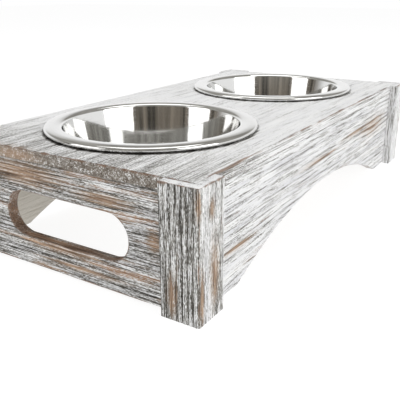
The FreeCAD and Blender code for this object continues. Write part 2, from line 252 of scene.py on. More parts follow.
def divide(piece: Piece, axis: int, cell: float) -> None:
    """Cut every long edge that runs along one axis into short cells.

    Args:
        piece: Piece with straight edges along the axis.
        axis: Number of the axis.
        cell: Length of a cell, about.
    """

    def runs_along(edge: bmesh.types.BMEdge) -> bool:
        """Whether an edge lies along the axis and is still long.

        Args:
            edge: Edge of the open mesh.

        Returns:
            True for an edge to cut.
        """
        run = edge.verts[1].co - edge.verts[0].co
        return run.length > 1.6 * cell and abs(run[axis]) > 0.999 * run.length

    open_piece(piece)
    shape = bmesh.from_edit_mesh(piece.data)
    longest = max((edge.calc_length() for edge in shape.edges if runs_along(edge)), default=0.0)
    cells = math.ceil(longest / cell)
    # One subdivision makes at most a hundred cuts, so a long edge takes two
    inner = math.ceil(cells / 100)
    for parts in (math.ceil(cells / inner) if cells else 0, inner):
        if parts > 1 and pick(piece, "edges", runs_along):
            bpy.ops.mesh.subdivide(number_cuts=parts - 1)
    close_piece()


def flare_cap(cutter: Piece, axis: int, side: int, flare: float, grips: list) -> None:
    """Widen one end of a cutter, so that it eases the edge of the hole that it cuts.

    Args:
        cutter: Cutter that ends at the face of the board.
        axis: Axis that the cutter runs along.
        side: -1 or 1, the end to widen.
        flare: How far to widen it.
        grips: Centre, radius and test for each set of corners that widens about its own centre.
    """
    open_piece(cutter)
    pick(cutter, "faces", lambda face: face.normal[axis] * side > 0.9)
    step = Vector((0, 0, 0))
    step[axis] = side * flare
    bpy.ops.transform.translate(value=-step)
    shape = bmesh.from_edit_mesh(cutter.data)
    level = [vert.co[axis] for vert in shape.verts if vert.select][0] + 2 * step[axis]
    bpy.ops.mesh.extrude_region_move(TRANSFORM_OT_translate={"value": 2 * step})
    for centre, radius, test in grips:
        pick(cutter, "verts", lambda vert: abs(vert.co[axis] - level) < CLOSE and test(vert.co))
        size = Vector((1, 1, 1)) * ((radius + 2 * flare) / radius)
        size[axis] = 1
        bpy.ops.transform.resize(value=size, center_override=centre)
    close_piece()


def round_cutter(
    centre: Vector, radius: float, depth: float, axis: int, steps: int, flare: float
) -> Piece:
    """Add a drum that cuts a round hole and eases both of its edges.

    Args:
        centre: Middle of the drum.
        radius: Radius of the hole.
        depth: Thickness of the board.
        axis: Axis that the drum runs along, 1 or 2.
        steps: Number of sides.
        flare: How far the edges are eased.

    Returns:
        The cutter.
    """
    turn = math.pi / 2 if axis == 1 else 0
    bpy.ops.object.select_all(action="DESELECT")
    bpy.ops.mesh.primitive_cylinder_add(
        vertices=steps, radius=radius, depth=depth, location=centre, rotation=(turn, 0, 0)
    )
    cutter = settle("round_cutter")
    for side in (-1, 1):
        flare_cap(cutter, axis, side, flare, [(centre, radius, lambda place: True)])
    return cutter


def smooth(piece: Piece, degrees: float) -> None:
    """Shade a piece smooth, with edges sharper than an angle left sharp.

    Args:
        piece: Piece to shade.
        degrees: The angle.
    """
    bpy.ops.object.select_all(action="DESELECT")
    piece.select_set(True)
    bpy.context.view_layer.objects.active = piece
    bpy.ops.object.shade_smooth_by_angle(angle=math.radians(degrees))


# Finishes


class GrainAxis(Enum):
    """Way the grain of a board runs, as the order of the axes along and across it."""

    LENGTHWISE = (0, 1, 2)
    CROSSWISE = (1, 2, 0)
    UPRIGHT = (2, 0, 1)


class Streak(NamedTuple):
    """Noise drawn out along the grain.

    length and width are the size of a patch along and across the grain in millimetres, detail is
    the number of finer layers, and shift tells one noise from the others.
    """

    length: float
    width: float
    detail: float
    shift: float


class GrainLines(NamedTuple):
    """Sockets of a board's grain.

    They are the place on the stand in millimetres, the same along and across the grain, the late
    wood of the rings and the fine fibres.
    """

    millimetres: Socket
    board: Socket
    late: Socket
    fibre: Socket


@dataclass(frozen=True)
class Grain:
    """Growth rings and fibres of one board, in millimetres.

    The same lines drive the relief in the mesh and the colours in the material, as in brushed
    wood, where the stain stays in the furrows. Each ring turns slowly from early to late wood
    (late_rise) and back at once (late_fall), both as shares of the ring. late_sink is how deep
    late wood lies, as a share of the depth of the furrows between the fibres.
    """

    axis: GrainAxis
    pith: Pair
    ring_pitch: float
    ring_drift: float
    seed: float
    wander: Streak = Streak(170, 38, 2.0, 3.1)
    fibre: Streak = Streak(34, 1.15, 3.0, 7.7)
    late_rise: Pair = (0.3, 0.82)
    late_fall: Pair = (1.0, 0.9)
    late_sink: float = 0.55
    furrow_range: Pair = (0.62, 0.36)
    roughness: float = 0.62

    def spread(self, tree: Tree, board: Socket, streak: Streak) -> Socket:
        """Add a noise drawn out along the grain.

        Args:
            tree: Tree to add to.
            board: Place along and across the grain.
            streak: Size and kind of the noise.

        Returns:
            Socket from nought to one, about a half in the middle.
        """
        size = (1 / streak.length, 1 / streak.width, 1 / streak.width)
        # Uneven steps, so that no two boards or noises line up
        moved = (self.seed + streak.shift, self.seed * 1.7 - streak.shift, streak.shift * 0.6)
        place = add_node(tree, VECTOR, [board, size, moved], operation="MULTIPLY_ADD")
        return add_node(tree, NOISE, {
            "Vector": place, "Scale": 1.0, "Detail": streak.detail, "Roughness": self.roughness,
        })

    def lines(self, tree: Tree, position: Socket) -> GrainLines:
        """Add the grain at every point of the board.

        Args:
            tree: Tree to add to.
            position: Place on the stand, in metres.

        Returns:
            Sockets of the grain.
        """
        millimetres = add_node(tree, VECTOR, {0: position, "Scale": 1 / MM}, operation="SCALE")
        split = add_node(tree, SPLIT, [millimetres]).node
        board = add_node(tree, "ShaderNodeCombineXYZ", [
            split.outputs[axis] for axis in self.axis.value
        ])
        drift = self.spread(tree, board, self.wander)
        from_pith = add_node(tree, VECTOR, [
            board, (0, 1, 1), (0, -self.pith[0], -self.pith[1]),
        ], operation="MULTIPLY_ADD")
        radius = add_node(tree, VECTOR, [from_pith], out=1, operation="LENGTH")
        wandering = add_node(tree, MATH, [drift, 2 * self.ring_drift, radius], operation="MULTIPLY_ADD")
        rings = add_node(tree, MATH, [wandering, self.ring_pitch], operation="DIVIDE")
        phase = add_node(tree, MATH, [rings], operation="FRACT")
        rise, fall = [
            add_node(tree, RANGE, [phase, start, end], **SOFT)
            for start, end in (self.late_rise, self.late_fall)
        ]
        late = add_node(tree, MATH, [rise, fall], operation="MULTIPLY")
        return GrainLines(millimetres, board, late, self.spread(tree, board, self.fibre))

    def press_relief(self, piece: Piece, depth: float) -> None:
        """Sink the furrows of the brushed grain into a divided mesh.

        Args:
            piece: Board with fine cells across the grain.
            depth: Depth of the deepest furrow, in metres.
        """
        tree = bpy.data.node_groups.new("brushed_relief", "GeometryNodeTree")
        for way in ("INPUT", "OUTPUT"):
            tree.interface.new_socket("Geometry", in_out=way, socket_type="NodeSocketGeometry")
        mesh = add_node(tree, "NodeGroupInput")
        lines = self.lines(tree, add_node(tree, "GeometryNodeInputPosition"))
        furrow = add_node(tree, RANGE, [lines.fibre, *self.furrow_range])
        sunk = add_node(tree, MATH, [lines.late, self.late_sink, furrow], operation="MULTIPLY_ADD")
        inward = add_node(tree, MATH, [sunk, -depth / (1 + self.late_sink)], operation="MULTIPLY")
        offset = add_node(tree, VECTOR, {
            0: add_node(tree, "GeometryNodeInputNormal"), "Scale": inward,
        }, operation="SCALE")
        moved = add_node(tree, "GeometryNodeSetPosition", {"Geometry": mesh, "Offset": offset})
        add_node(tree, "NodeGroupOutput", [moved])
        finish_with(piece, "NODES", node_group=tree)
        bpy.data.node_groups.remove(tree)


class WornSpot(NamedTuple):
    """Place where the wash is rubbed down to the wood, in millimetres.

    fray is how far single hairs cross its border, as a share of its reach, and share is how much
    of the wood is bare in its middle.
    """

    centre: Point
    reach: Point
    fray: float = 1.8
    share: float = 0.85


class RimShadowRing(NamedTuple):
    """Painted shade: a dark ring on the top round a bowl, for the shadow under its rim, in millimetres.

    core is half the width of its darkest part, width how far it fades, fray how far single hairs
    move its border, and loss what the wash lacks there.
    """

    centre: Point
    radius: float
    width: float
    core: float = 1.0
    fray: float = 3.0
    loss: float = 1.15


class RubbedEnd(NamedTuple):
    """Stretch along the stand over which the wash thickens to its full measure, in millimetres."""

    start: float = -1.0
    stop: float = 0.0
    loss: float = 0.0


@dataclass(frozen=True)
class Wash:
    """How much white-wash one board carries, from nought for none to one for full.

    end_coverage is for faces out to the ends of the stand, and cut_coverage for sawn ends of the
    grain, which both hold less of it. side_loss is what faces to the long sides lack.
    ring_contrast is what late wood lacks. tint is how grey the white is at most, bare_share and
    edge_wear are how much of the faces and the edges is rubbed, and raw_ends is the share of sawn
    ends that is. fibre_length is in millimetres.
    """

    coverage: float
    end_coverage: float
    cut_coverage: float
    ring_contrast: float
    tint: float
    bare_share: float
    edge_wear: float
    fibre_length: float
    raw_ends: float
    side_loss: float = 0.0
    rubbed_end: RubbedEnd = RubbedEnd()
    spots: tuple[WornSpot, ...] = ()
    # Dark rings of painted shade round the bowls, for the shadow under their rims
    rings: tuple[RimShadowRing, ...] = ()


@dataclass(frozen=True)
class BoardFace:
    """Surface of one board: its grain and wash, and sockets that the layers of its finish share."""

    tree: Tree
    grain: Grain
    wash: Wash
    normal: Socket
    lines: GrainLines
    bold: Socket
    hair: Socket
    sawn: Socket
    spotted: Any

    def noise(self, streak: Streak) -> Socket:
        """Add one more noise along the grain."""
        return self.grain.spread(self.tree, self.lines.board, streak)


@dataclass(frozen=True)
class WashedPine:
    """Pine, wire-brushed, stained grey-brown and white-washed.

    Brushing takes the soft wood out between the hard lines of the rings. The dark stain stays in
    these furrows, the white lies on the ridges, and bare tan wood shows where the edges and some
    patches are rubbed. Matte, with no gloss but a faint sheen on the white. The hairlines are
    drawn half a millimetre wide, coarser than real fibres, so that they show. Their length comes
    with the wash. Each range holds the values at which something begins and is complete.
    """

    stain_dark: str = "#2e2b27"
    stain_light: str = "#96938c"
    white: str = "#f3f3f2"
    white_shade: str = "#b9b9c4"
    bare_light: str = "#c8ac92"
    bare_dark: str = "#7a5d48"
    edge_light: str = "#a08068"
    edge_dark: str = "#4f3a2d"
    inside: str = "#d3cec4"
    bold: Streak = Streak(120, 5.5, 3.0, 13.0)
    patch: Streak = Streak(60, 20, 2.0, 21.0)
    hair: Streak = Streak(1, 0.47, 1.0, 5.3)
    breaks: Streak = Streak(2.4, 0.5, 2.0, 17.0)
    grit: Streak = Streak(1.2, 0.9, 2.0, 27.0)
    rubbed: Streak = Streak(90, 7.5, 2.0, 34.0)
    stain_tone: Streak = Streak(45, 3.0, 3.0, 44.0)
    edge_rub: Streak = Streak(38, 9, 2.0, 61.0)
    blot_weight: float = 1.6
    speck_weight: float = 2.6
    sawn_range: Pair = (0.6, 0.85)
    white_range: Pair = (0.3, 0.7)
    stain_range: Pair = (0.2, 1.1)
    fibre_range: Pair = (0.36, 0.62)
    thin_range: Pair = (0.66, 0.34)
    bare_range: Pair = (0.66, 0.82)
    edge_range: Pair = (-3.7, -4.7)
    brown_range: Pair = (0.4, 0.68)
    inner_range: Pair = (0.5, 0.9)
    roughness: Pair = (0.82, 0.62)
    edge_fray: float = 4.0
    edge_share: float = 0.85
    inner_share: float = 0.86
    bare_loss: float = 0.15
    tan_share: float = 0.4
    tone_weight: float = 1.2
    bare_gain: float = 0.2
    edge_base: float = 3.0
    edge_gain: float = 4.0

    def survey(self, tree: Tree, grain: Grain, wash: Wash) -> BoardFace:
        """Add what the layers share: the grain, the sawn ends and the worn spots.

        Args:
            tree: Tree to add to.
            grain: Grain of the board.
            wash: Wash of the board.

        Returns:
            The shared sockets.
        """
        normal = add_node(tree, "ShaderNodeNewGeometry", out="True Normal")
        lines = grain.lines(tree, add_node(tree, COORDINATES, out="Object"))
        bold = grain.spread(tree, lines.board, self.bold)
        hair = grain.spread(tree, lines.board, self.hair._replace(length=wash.fibre_length))
        looks = add_node(tree, VECTOR, [normal], operation="ABSOLUTE")
        endwise = add_node(tree, SPLIT, [looks], out=grain.axis.value[0])
        sawn = add_node(tree, RANGE, [endwise, *self.sawn_range], **SOFT)
        spotted: Any = 0.0
        for spot in wash.spots:
            away = add_node(tree, VECTOR, [lines.millimetres, spot.centre], operation="SUBTRACT")
            share = add_node(tree, VECTOR, [away, spot.reach], operation="DIVIDE")
            reach = add_node(tree, VECTOR, [share], out=1, operation="LENGTH")
            ragged = add_node(tree, MATH, [hair, -spot.fray, reach], operation="MULTIPLY_ADD")
            inside = add_node(tree, RANGE, [
                ragged, 1 - spot.fray / 2, -spot.fray / 2, 0.0, spot.share,
            ], **SOFT)
            spotted = add_node(tree, MATH, [spotted, inside], operation="MAXIMUM")
        return BoardFace(tree, grain, wash, normal, lines, bold, hair, sawn, spotted)

    def cover(self, face: BoardFace) -> Socket:
        """Add how thick the wash lies, before it is cut off at none and at full.

        Args:
            face: Surface of the board.

        Returns:
            Socket with the thickness, about a half where the stain begins to show.
        """
        tree, wash, lines = face.tree, face.wash, face.lines
        lengthwise = add_node(tree, SPLIT, [lines.millimetres])
        kept = add_node(tree, RANGE, [lengthwise, wash.rubbed_end.start, wash.rubbed_end.stop], **SOFT)
        which_end = add_node(tree, MATH, [lengthwise], operation="SIGN")
        looks = add_node(tree, SPLIT, [face.normal]).node.outputs
        outward = add_node(tree, MATH, [looks[0], which_end], operation="MULTIPLY")
        to_ends = add_node(tree, MATH, [outward, 0.0], operation="MAXIMUM")
        to_sides = add_node(tree, MATH, [looks[1]], operation="ABSOLUTE")
        bared_late = add_node(tree, MATH, [face.spotted, lines.late], operation="MULTIPLY")
        cover: Any = wash.coverage
        # What pulls on the wash, with what weight, and the value at which it does nothing
        for pull, weight, middle in (
            (face.spotted, -0.3, 0.0),
            (to_ends, wash.end_coverage - wash.coverage, 0.0),
            (kept, wash.rubbed_end.loss, 1.0),
            (to_sides, -wash.side_loss, 0.0),
            (lines.late, -wash.ring_contrast, 0.3),
            (bared_late, -1.1, 0.1),
            (face.bold, 0.45, 0.5),
            (face.noise(self.patch), 0.7, 0.5),
            (lines.fibre, 0.4, 0.5),
            (face.hair, 3.7, 0.5),
            (face.noise(self.breaks), 2.8, 0.5),
        ):
            shifted = add_node(tree, MATH, [pull, middle], operation="SUBTRACT")
            cover = add_node(tree, MATH, [shifted, weight, cover], operation="MULTIPLY_ADD")
        # Painted shade: the wash is darkened in a ring round each bowl, for the shadow under its rim
        for shadow_ring in wash.rings:
            away = add_node(tree, VECTOR, [lines.millimetres, shadow_ring.centre], out=1, operation="DISTANCE")
            past = add_node(tree, MATH, [face.hair, shadow_ring.fray, away], operation="MULTIPLY_ADD")
            off = add_node(tree, MATH, [past, shadow_ring.radius + shadow_ring.fray / 2], operation="SUBTRACT")
            beside = add_node(tree, MATH, [off], operation="ABSOLUTE")
            rim_shadow = add_node(tree, RANGE, [
                beside, shadow_ring.core, shadow_ring.core + shadow_ring.width, -shadow_ring.loss, 0.0,
            ], **SOFT)
            cover = add_node(tree, MATH, [cover, rim_shadow], operation="ADD")
        # Sawn ends show no lines, only specks and blots
        thickness = wash.cut_coverage - (self.blot_weight + self.speck_weight) / 2
        blots = add_node(tree, MATH, [face.bold, self.blot_weight, thickness], operation="MULTIPLY_ADD")
        specks = add_node(tree, MATH, [
            face.noise(self.grit), self.speck_weight, blots,
        ], operation="MULTIPLY_ADD")
        return add_node(tree, MIX, {0: face.sawn, 2: cover, 3: specks}, data_type="FLOAT")

    def bare(self, face: BoardFace) -> Socket:
        """Add where the stain is rubbed off too: long thin patches, worn spots and sawn ends.

        Args:
            face: Surface of the board.

        Returns:
            Socket with the share of bare wood.
        """
        tree, wash = face.tree, face.wash
        rubbed = face.noise(self.rubbed)
        lowered = [limit - self.bare_gain * wash.bare_share for limit in self.bare_range]
        bare = add_node(tree, RANGE, [rubbed, *lowered], **SOFT)
        raw_end = add_node(tree, MATH, [face.sawn, wash.raw_ends], operation="MULTIPLY")
        for worn in (face.spotted, raw_end):
            bare = add_node(tree, MATH, [bare, worn], operation="MAXIMUM")
        return bare

    def ground(self, face: BoardFace, cover: Socket, bare: Socket) -> Socket:
        """Add the colour under the wash: stain, darkest in the deepest furrows, and bare wood.

        Args:
            face: Surface of the board.
            cover: Thickness of the wash.
            bare: Share of bare wood.

        Returns:
            Socket with the colour.
        """
        tree = face.tree
        tone = face.noise(self.stain_tone)
        shallow = add_node(tree, MATH, [tone, self.tone_weight, cover], operation="MULTIPLY_ADD")
        depth = add_node(tree, RANGE, [shallow, *self.stain_range])
        stain = add_node(tree, MIX, {
            0: depth, 6: linear(self.stain_dark), 7: linear(self.stain_light),
        }, **COLOURS)
        fibres = add_node(tree, RANGE, [face.hair, *self.fibre_range])
        wood = add_node(tree, MIX, {
            0: fibres, 6: linear(self.bare_dark), 7: linear(self.bare_light),
        }, **COLOURS)
        return add_node(tree, MIX, {0: bare, 6: stain, 7: wood}, **COLOURS)

    def chalk(self, face: BoardFace) -> Socket:
        """Add the colour of the wash: greyer where the stain shows through, tan on worn spots.

        Args:
            face: Surface of the board.

        Returns:
            Socket with the colour.
        """
        tree = face.tree
        thin = add_node(tree, RANGE, [face.bold, *self.thin_range, 0.0, face.wash.tint])
        chalk = add_node(tree, MIX, {
            0: thin, 6: linear(self.white), 7: linear(self.white_shade),
        }, **COLOURS)
        warmed = add_node(tree, MATH, [face.spotted, self.tan_share], operation="MULTIPLY")
        return add_node(tree, MIX, {0: warmed, 6: chalk, 7: linear(self.bare_light)}, **COLOURS)

    def wear_edges(self, face: BoardFace, colour: Socket, edge: Socket) -> Socket:
        """Rub the edges to brown, here and there.

        Args:
            face: Surface of the board.
            colour: Colour of the faces.
            edge: Distance to the nearest edge, in millimetres.

        Returns:
            Socket with the colour of faces and edges.
        """
        tree = face.tree
        rub = face.noise(self.edge_rub)
        ragged = add_node(tree, MATH, [face.hair, -self.edge_fray, edge], operation="MULTIPLY_ADD")
        wear = self.edge_base + self.edge_gain * face.wash.edge_wear
        rough = add_node(tree, MATH, [rub, -wear, ragged], operation="MULTIPLY_ADD")
        worn = add_node(tree, RANGE, [rough, *self.edge_range, 0.0, self.edge_share], **SOFT)
        browned = add_node(tree, RANGE, [face.hair, *self.brown_range])
        brown = add_node(tree, MIX, {
            0: browned, 6: linear(self.edge_dark), 7: linear(self.edge_light),
        }, **COLOURS)
        return add_node(tree, MIX, {0: worn, 6: colour, 7: brown}, **COLOURS)

    def dress(
        self, name: str, grain: Grain, wash: Wash, inward: Vector,
        edge_distance: Callable[[Tree, Socket], Socket],
    ) -> Material:
        """Make the material of one board.

        Args:
            name: Name of the material.
            grain: Grain of the board.
            wash: Wash of the board.
            inward: Way that the board's inner face looks, or nought where it has none.
            edge_distance: Adds the distance to the board's nearest edge, in millimetres.

        Returns:
            The new material.
        """
        material = new_material(name)
        tree = material.node_tree
        face = self.survey(tree, grain, wash)
        cover = self.cover(face)
        bare = self.bare(face)
        white = add_node(tree, RANGE, [cover, *self.white_range], **SOFT)
        held = add_node(tree, MATH, [bare, -self.bare_loss, 1.0], operation="MULTIPLY_ADD")
        laid = add_node(tree, MATH, [white, held], operation="MULTIPLY")
        washed = add_node(tree, MIX, {
            0: laid, 6: self.ground(face, cover, bare), 7: self.chalk(face),
        }, **COLOURS)
        outer = self.wear_edges(face, washed, edge_distance(tree, face.lines.millimetres))
        # The inside of the box only has a thin pale coat
        facing = add_node(tree, VECTOR, [face.normal, inward], out=1, operation="DOT_PRODUCT")
        hidden = add_node(tree, RANGE, [facing, *self.inner_range, 0.0, self.inner_share])
        colour = add_node(tree, MIX, {0: hidden, 6: outer, 7: linear(self.inside)}, **COLOURS)
        roughness = add_node(tree, RANGE, [laid, 0.0, 1.0, *self.roughness])
        height = add_node(tree, MATH, [face.lines.fibre, laid], operation="ADD")
        bump = add_node(tree, BUMP, {"Height": height, "Strength": 0.5, "Distance": 0.35 * MM})
        surface = add_node(tree, PRINCIPLED, {
            "Base Color": colour, "Roughness": roughness, "Normal": bump, "Specular IOR Level": 0.3,
        })
        add_node(tree, OUTPUT, {"Surface": surface})
        return material


@dataclass(frozen=True)
class PlanedPine:
    """Planed pine battens, left bare: pale yellow, with brown rings, under the top."""

    early: str = "#d9bc8c"
    late: str = "#b07f4a"

    def dress(self, name: str, grain: Grain) -> Material:
        """Make the material of a batten.

        Args:
            name: Name of the material.
            grain: Grain of the batten.

        Returns:
            The new material.
        """
        material = new_material(name)
        tree = material.node_tree
        lines = grain.lines(tree, add_node(tree, COORDINATES, out="Object"))
        mottled = add_node(tree, MATH, [lines.late, lines.fibre], operation="MULTIPLY")
        colour = add_node(tree, MIX, {
            0: mottled, 6: linear(self.early), 7: linear(self.late),
        }, **COLOURS)
        bump = add_node(tree, BUMP, {"Height": lines.fibre, "Strength": 0.3, "Distance": 0.15 * MM})
        surface = add_node(tree, PRINCIPLED, {"Base Color": colour, "Roughness": 0.7, "Normal": bump})
        add_node(tree, OUTPUT, {"Surface": surface})
        return material


@dataclass(frozen=True)
class PolishedStainless:
    """Stainless steel sheet, pressed and mirror polished.

    A clear mirror, with the faint long waves that pressing leaves and fine rings from the
    polishing mop. The rings are drawn 0.9 mm wide, coarser than real ones, so that they show.
    """

    steel: str = "#e2e2e1"
    wave: float = 26.0
    mop_line: float = 0.9
    roughness: Pair = (0.05, 0.12)

    def dress(self, name: str, centre: Vector) -> Material:
        """Make the material of one bowl.

        Args:
            name: Name of the material.
            centre: Point on the axis of the bowl, in metres.

        Returns:
            The new material.
        """
        material = new_material(name)
        tree = material.node_tree
        position = add_node(tree, COORDINATES, out="Object")
        place = add_node(tree, "ShaderNodeMapping", {
            "Vector": position, "Location": (-centre.x / MM, -centre.y / MM, 0),
            "Scale": (1 / MM, 1 / MM, 1 / MM),
        })
        flat = add_node(tree, VECTOR, [place, (1, 1, 0)], operation="MULTIPLY")
        radius = add_node(tree, VECTOR, [flat], out=1, operation="LENGTH")
        height = add_node(tree, SPLIT, [place], out=2)
        along = add_node(tree, MATH, [radius, height], operation="SUBTRACT")
        rings = add_node(tree, MATH, [along, self.mop_line], operation="DIVIDE")
        mop = add_node(tree, NOISE, {"W": rings, "Scale": 1.0, "Detail": 2.0}, noise_dimensions="1D")
        waves = add_node(tree, NOISE, {"Vector": place, "Scale": 1 / self.wave, "Detail": 1.0})
        scuff = add_node(tree, RANGE, [mop, 0.3, 0.7, *self.roughness])
        bump_waves = add_node(tree, BUMP, {"Height": waves, "Strength": 0.25, "Distance": 0.35 * MM})
        bump = add_node(tree, BUMP, {
            "Height": mop, "Strength": 0.06, "Distance": 0.02 * MM, "Normal": bump_waves,
        })
        surface = add_node(tree, PRINCIPLED, {
            "Base Color": linear(self.steel), "Metallic": 1.0, "Roughness": scuff, "Normal": bump,
        })
        add_node(tree, OUTPUT, {"Surface": surface})
        return material


@dataclass(frozen=True)
class ZincPlate:
    """Steel screws, bright zinc plated: blue-grey metal, satin, clouded by handling."""

    bright: str = "#c3c6ca"
    cloud: str = "#9fa3a8"
    cloud_size: float = 2.5 * MM
    roughness: Pair = (0.28, 0.5)

    def dress(self, name: str) -> Material:
        """Make the material of the screws.

        Args:
            name: Name of the material.

        Returns:
            The new material.
        """
        material = new_material(name)
        tree = material.node_tree
        position = add_node(tree, COORDINATES, out="Object")
        clouds = add_node(tree, NOISE, {"Vector": position, "Scale": 1 / self.cloud_size, "Detail": 3.0})
        colour = add_node(tree, MIX, {
            0: clouds, 6: linear(self.bright), 7: linear(self.cloud),
        }, **COLOURS)
        roughness = add_node(tree, RANGE, [clouds, 0.0, 1.0, *self.roughness])
        surface = add_node(tree, PRINCIPLED, {
            "Base Color": colour, "Metallic": 1.0, "Roughness": roughness,
        })
        add_node(tree, OUTPUT, {"Surface": surface})
        return material


# Pieces of the stand


@dataclass
class Board:
    """One board of the box: a blank with eased edges and brushed faces."""

    node: str
    grain: Grain
    wash: Wash
    ease: float = 0.8 * MM
    furrow: float = 0.28 * MM
    cell_along: float = 8.0 * MM
    cell_across: float = 0.9 * MM
    sharp_angle: float = 32

    def blank(self) -> Piece:
        """Block of the board's full size."""
        return start_block(f"{self.node}_brushed", *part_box(self.node))

    def cutters(self) -> list[Piece]:
        """Shapes that are cut out of the blank; a plain board has none."""
        return []

    def inward(self) -> Vector:
        """Way that the inner face of the board looks, across its thinnest side.

        Returns:
            Unit vector along one axis.
        """
        low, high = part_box(self.node)
        thin = min(range(3), key=lambda axis: (high - low)[axis])
        way = Vector((0, 0, 0))
        way[thin] = -1 if thin == 2 or (low + high)[thin] > 0 else 1
        return way

    def edge_distance(self, tree: Tree, millimetres: Socket) -> Socket:
        """Add the distance from a point on the surface to the board's upper rim.

        Args:
            tree: Tree to add to.
            millimetres: Place on the stand.

        Returns:
            Socket with the distance in millimetres.
        """
        low, high = [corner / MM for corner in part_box(self.node)]
        middle = add_node(tree, VECTOR, [millimetres, (low + high) / 2], operation="SUBTRACT")
        reach = add_node(tree, VECTOR, [middle], operation="ABSOLUTE")
        inside = add_node(tree, VECTOR, [(high - low) / 2, reach], operation="SUBTRACT")
        end, side, _ = add_node(tree, SPLIT, [inside]).node.outputs
        height = add_node(tree, SPLIT, [millimetres], out=2)
        below = add_node(tree, MATH, [high.z, height], operation="SUBTRACT")
        nearer = add_node(tree, MATH, [end, side], operation="MINIMUM")
        return add_node(tree, MATH, [below, nearer], operation="MAXIMUM")

    def divide_faces(self, piece: Piece) -> None:
        """Cut the faces into cells, long along the grain and fine across it.

        Args:
            piece: Blank with eased edges.
        """
        along, across, through = self.grain.axis.value
        divide(piece, across, self.cell_across)
        divide(piece, through, self.cell_across)
        divide(piece, along, self.cell_along)

    def round_edges(self, piece: Piece) -> None:
        """Ease every edge of the blank.

        Args:
            piece: The blank.
        """
        open_piece(piece)
        bpy.ops.mesh.select_all(action="SELECT")
        bpy.ops.mesh.bevel(offset=self.ease, segments=2, affect="EDGES")
        close_piece()

    def build(self, finish: WashedPine) -> Piece:
        """Model the board, brush it and dress it.

        Args:
            finish: Finish of the wood.

        Returns:
            The finished piece, riding on the stand.
        """
        piece = self.blank()
        self.round_edges(piece)
        self.divide_faces(piece)
        for cutter in self.cutters():
            cut_away(piece, cutter)
        self.grain.press_relief(piece, self.furrow)
        smooth(piece, self.sharp_angle)
        piece.data.materials.clear()
        piece.data.materials.append(
            finish.dress(
                f"washed_pine_{self.node}", self.grain, self.wash, self.inward(), self.edge_distance
            )
        )
        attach(piece, "stand")
        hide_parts(self.node)
        LOG.info("%s: %d faces", piece.name, len(piece.data.polygons))
        return piece


@dataclass
class TopBoard(Board):
    """Top of the stand, with the two round holes that the bowls hang in."""

    hole_radius: float = 82.5 * MM
    hole_steps: int = 160
    bowls: tuple[str, str] = ("bowl_left", "bowl_right")

    def cutters(self) -> list[Piece]:
        """One flared round cutter for each bowl.

        Returns:
            The two cutters.
        """
        low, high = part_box(self.node)
        made = []
        for bowl in self.bowls:
            centre = sum(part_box(bowl), Vector()) / 2
            centre.z = (low.z + high.z) / 2
            made.append(
                round_cutter(centre, self.hole_radius, high.z - low.z, 2, self.hole_steps, self.ease)
            )
        return made


@dataclass
class EndPanel(Board):
    """End of the stand, with a round-ended slot for the hand."""

    slot_length: float = 125 * MM
    slot_height: float = 38 * MM
    slot_level: float = 45.5 * MM
    slot_steps: int = 14

    def slot_centres(self) -> list[Vector]:
        """Centres of the two round ends of the slot.

        Returns:
            The centre to the front and the one to the back.
        """
        low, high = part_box(self.node)
        reach = (self.slot_length - self.slot_height) / 2
        return [Vector(((low.x + high.x) / 2, side * reach, self.slot_level)) for side in (-1, 1)]

    def cutters(self) -> list[Piece]:
        """Slot-shaped cutter: a block with its four long edges rounded full.

        Returns:
            The one cutter.
        """
        low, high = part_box(self.node)
        half = Vector((0, self.slot_length / 2, self.slot_height / 2))
        middle = Vector((0, 0, self.slot_level))
        cutter = start_block(
            "slot_cutter", middle - half + Vector((low.x, 0, 0)), middle + half + Vector((high.x, 0, 0))
        )
        open_piece(cutter)
        pick(cutter, "edges", lambda edge: abs(edge.verts[0].co.x - edge.verts[1].co.x) > 0.1 * MM)
        # A trace short of full, so that the roundings do not meet in one line
        bpy.ops.mesh.bevel(
            offset=self.slot_height / 2 * 0.9999, segments=self.slot_steps, affect="EDGES",
            clamp_overlap=False,
        )
        close_piece()
        grips = [
            (centre, self.slot_height / 2, lambda place, centre=centre: place.y * centre.y > 0)
            for centre in self.slot_centres()
        ]
        for side in (-1, 1):
            flare_cap(cutter, 0, side, self.ease, grips)
        return [cutter]

    def edge_distance(self, tree: Tree, millimetres: Socket) -> Socket:
        """Add the distance to the panel's lower edge or its slot.

        Args:
            tree: Tree to add to.
            millimetres: Place on the stand.

        Returns:
            Socket with the distance in millimetres.
        """
        low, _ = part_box(self.node)
        height = add_node(tree, SPLIT, [millimetres], out=2)
        lower = add_node(tree, MATH, [height, low.z / MM], operation="SUBTRACT")
        radius = self.slot_height / 2 / MM
        reach = self.slot_length / 2 / MM - radius
        level = (0, 0, self.slot_level / MM)
        middle = add_node(tree, VECTOR, [millimetres, level], operation="SUBTRACT")
        folded = add_node(tree, VECTOR, [middle], operation="ABSOLUTE")
        past = add_node(tree, VECTOR, [folded, (0, reach, 0)], operation="SUBTRACT")
        beside = add_node(tree, VECTOR, [past, (0, 0, 0)], operation="MAXIMUM")
        flat = add_node(tree, VECTOR, [beside, (0, 1, 1)], operation="MULTIPLY")
        away = add_node(tree, VECTOR, [flat], out=1, operation="LENGTH")
        slot = add_node(tree, MATH, [away, radius], operation="SUBTRACT")
        return add_node(tree, MATH, [lower, slot], operation="MINIMUM")


